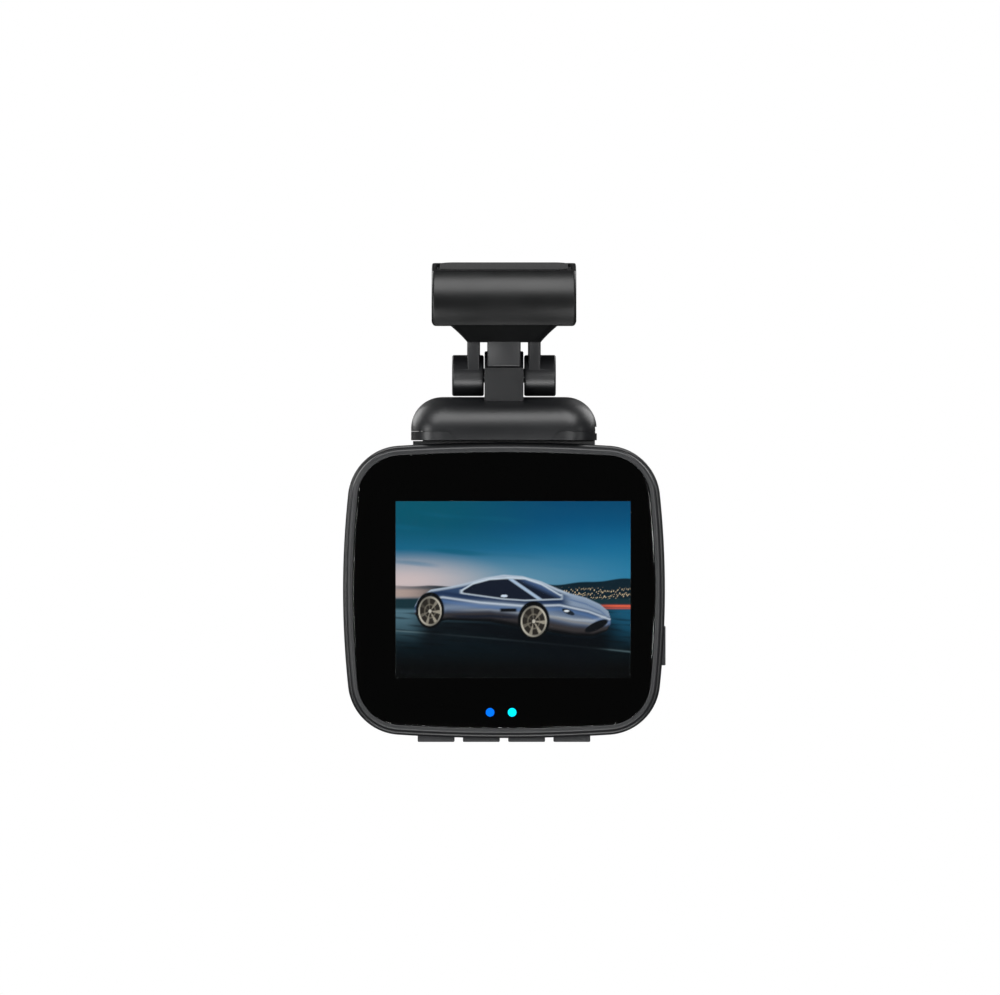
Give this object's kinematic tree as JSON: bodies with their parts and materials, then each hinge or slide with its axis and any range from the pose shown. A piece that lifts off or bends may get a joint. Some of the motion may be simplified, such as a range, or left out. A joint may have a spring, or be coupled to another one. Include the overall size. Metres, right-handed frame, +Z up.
{
  "type": "dash camera",
  "caption": "Windscreen dash camera: rounded body with a rear screen, a lens at the front, edge keys, a cradle it slides off and a hinged adhesive mount.",
  "frame": {"origin": "centre of the adhesive pad's outer face", "axes": "+Z up, the screen faces -Y towards the driver, the lens faces +Y, +X is to the right seen from the screen"},
  "size_m": [0.0673, 0.0351, 0.1004],
  "materials": {
    "satin_black_abs": "satin black ABS, fine spark texture",
    "bezel_black": "semi-gloss black bezel",
    "key_black": "satin black key",
    "foam_tape": "black acrylic foam tape",
    "plated_steel": "zinc plated",
    "tin_plated_shell": "tin plated shell",
    "cover_glass": "polished cover glass",
    "mask_print": "black screen print behind the glass",
    "lcd_glass": "display panel",
    "white_moulding": "white backlight frame",
    "polyimide_flex": "amber polyimide",
    "pressed_magnesium": "cast frame",
    "circuit_board": "green solder mask",
    "chip_epoxy": "moulded epoxy",
    "thermal_pad": "soft thermal pad",
    "extruded_aluminium": "extruded",
    "led_package": "white LED package",
    "blue_light": "lit blue light pipe",
    "cyan_light": "lit cyan light pipe",
    "gold_plate": "gold plated",
    "patch_ceramic": "fired ceramic patch",
    "cell_wrap": "foil pouch",
    "speaker_frame": "pressed frame",
    "gloss_black": "gloss black",
    "lens_window": "coated window",
    "anodised_black": "black anodised",
    "coated_lens": "anti-reflection coated",
    "holder_black": "glass filled plastic",
    "filter_glass": "infrared cut filter",
    "card_plastic": "moulded card"
  },
  "bodies": {
    "mount": {"mount_head": "satin_black_abs", "head_cap": "satin_black_abs", "adhesive_pad": "foam_tape", "hinge_screw": "plated_steel", "hinge_nut": "plated_steel", "wave_washer": "plated_steel"},
    "cradle": {"cradle_cover": "satin_black_abs", "cradle_plate": "satin_black_abs", "gps_antenna": "patch_ceramic", "gps_board": "circuit_board", "contact_pins": "gold_plate", "cradle_screws": "plated_steel"},
    "camera": {"main_housing": "satin_black_abs", "screen_bezel": "bezel_black", "screen_glass": "cover_glass", "glass_mask": "mask_print", "glass_tape": "foam_tape", "lcd_panel": "lcd_glass", "lcd_backlight": "white_moulding", "lcd_flex": "polyimide_flex", "mid_frame": "pressed_magnesium", "main_board": "circuit_board", "processor": "chip_epoxy", "memory_chip": "chip_epoxy", "heat_pad": "thermal_pad", "heat_sink": "extruded_aluminium", "card_socket": "tin_plated_shell", "bottom_switches": "tin_plated_shell", "side_switch": "tin_plated_shell", "status_leds": "led_package", "left_light_pipe": "blue_light", "right_light_pipe": "cyan_light", "usb_socket": "tin_plated_shell", "microphone": "gold_plate", "battery": "cell_wrap", "battery_tape": "foam_tape", "speaker": "speaker_frame", "speaker_gasket": "foam_tape", "wifi_antenna": "circuit_board", "lens_ring": "gloss_black", "lens_window": "lens_window", "lens_barrel": "anodised_black", "front_lens": "coated_lens", "rear_lens": "coated_lens", "lens_holder": "holder_black", "ir_filter": "filter_glass", "image_sensor": "chip_epoxy", "sensor_board": "circuit_board", "sensor_flex": "polyimide_flex", "dock_rail": "satin_black_abs", "dock_contacts": "gold_plate", "rail_screws": "plated_steel", "frame_screws": "plated_steel", "board_screws": "plated_steel"},
    "menu_button": {"menu_button": "key_black"},
    "back_button": {"back_button": "key_black"},
    "next_button": {"next_button": "key_black"},
    "ok_button": {"ok_button": "key_black"},
    "power_button": {"power_button": "key_black"},
    "memory_card": {"memory_card": "card_plastic"}
  },
  "joints": [
    {"name": "tilt", "type": "hinge", "parent": "mount", "child": "cradle", "pos_m": [0, 0, -0.023], "axis": [1, 0, 0], "range_deg": [0, 75]},
    {"name": "dock_slide", "type": "slide", "parent": "cradle", "child": "camera", "axis": [1, 0, 0], "range_m": [0, 0.036]},
    {"name": "menu_press", "type": "slide", "parent": "camera", "child": "menu_button", "axis": [0, 0, 1], "range_m": [0, 0.0004], "stiffness_N_per_m": 300, "springref_m": -0.002},
    {"name": "back_press", "type": "slide", "parent": "camera", "child": "back_button", "axis": [0, 0, 1], "range_m": [0, 0.0004], "stiffness_N_per_m": 300, "springref_m": -0.002},
    {"name": "next_press", "type": "slide", "parent": "camera", "child": "next_button", "axis": [0, 0, 1], "range_m": [0, 0.0004], "stiffness_N_per_m": 300, "springref_m": -0.002},
    {"name": "ok_press", "type": "slide", "parent": "camera", "child": "ok_button", "axis": [0, 0, 1], "range_m": [0, 0.0004], "stiffness_N_per_m": 300, "springref_m": -0.002},
    {"name": "power_press", "type": "slide", "parent": "camera", "child": "power_button", "axis": [-1, 0, 0], "range_m": [0, 0.0004], "stiffness_N_per_m": 300, "springref_m": -0.002},
    {"name": "card_slide", "type": "slide", "parent": "camera", "child": "memory_card", "axis": [-1, 0, 0], "range_m": [0, 0.013]}
  ]
}
